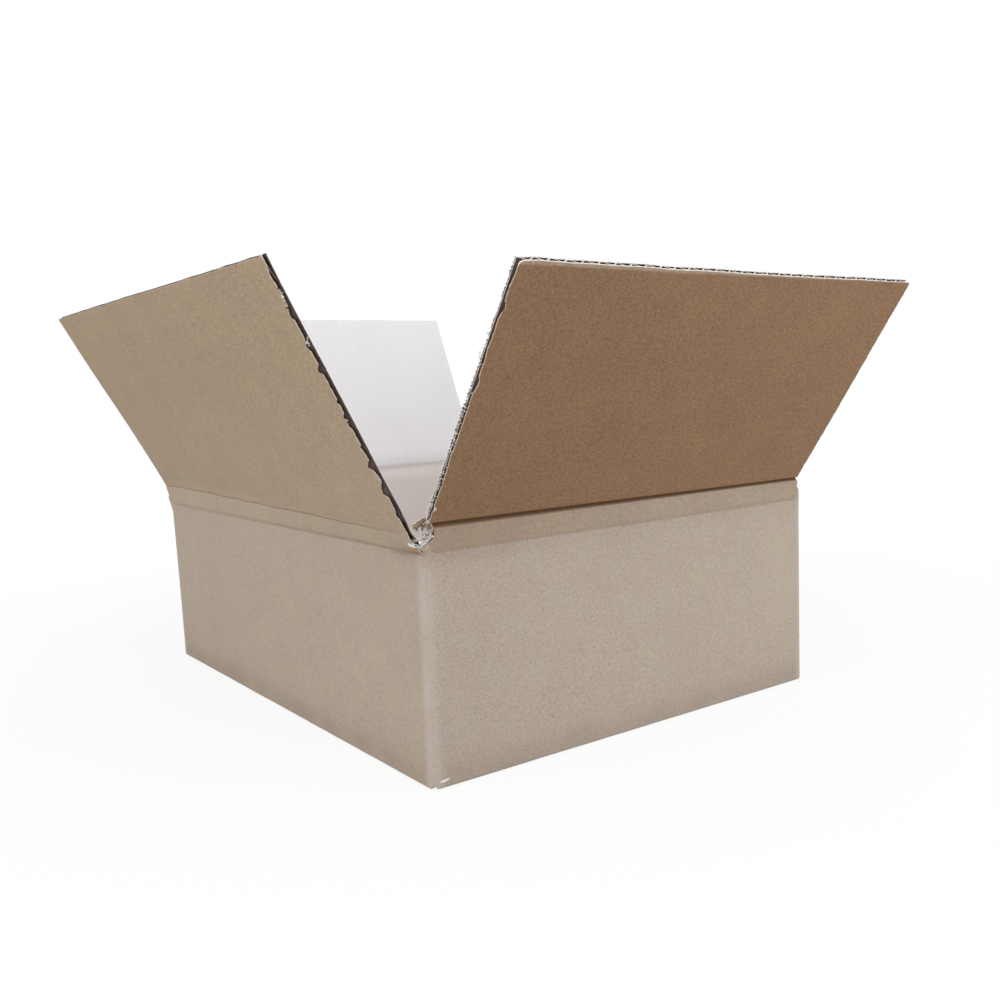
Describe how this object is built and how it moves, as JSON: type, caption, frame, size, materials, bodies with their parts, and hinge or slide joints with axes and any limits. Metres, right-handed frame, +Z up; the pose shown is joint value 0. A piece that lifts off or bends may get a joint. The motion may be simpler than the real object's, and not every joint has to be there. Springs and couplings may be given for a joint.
{
  "type": "corrugated shipping box",
  "caption": "Open kraft corrugated shipping box standing on its closed bottom, with top flaps leaning outward; the flaps fold shut to close it.",
  "frame": {"origin": "middle of the footprint, on the floor the box stands on", "axes": "+X along the front wall, +Y from the front wall to the back wall along the longer side, +Z up"},
  "size_m": [0.3615, 0.4197, 0.2195],
  "materials": {
    "kraft_board": "matt, uncoated, lightly worn"
  },
  "bodies": {
    "box": {"box_body": "kraft_board"},
    "front_flap": {"front_flap": "kraft_board"},
    "back_flap": {"back_flap": "kraft_board"},
    "left_flap": {"left_flap": "kraft_board"},
    "right_flap": {"right_flap": "kraft_board"}
  },
  "joints": [
    {"name": "front_flap_fold", "type": "hinge", "parent": "box", "child": "front_flap", "pos_m": [0, -0.1526, 0.10975], "axis": [1, 0, 0], "range_deg": [-124.93, 115.07]},
    {"name": "back_flap_fold", "type": "hinge", "parent": "box", "child": "back_flap", "pos_m": [0, 0.1526, 0.10975], "axis": [-1, 0, 0], "range_deg": [-113.51, 126.49]},
    {"name": "left_flap_fold", "type": "hinge", "parent": "box", "child": "left_flap", "pos_m": [-0.1186, 0, 0.11395], "axis": [0, -1, 0], "range_deg": [-120.67, 119.33]},
    {"name": "right_flap_fold", "type": "hinge", "parent": "box", "child": "right_flap", "pos_m": [0.1186, 0, 0.11395], "axis": [0, 1, 0], "range_deg": [-123, 117]}
  ]
}
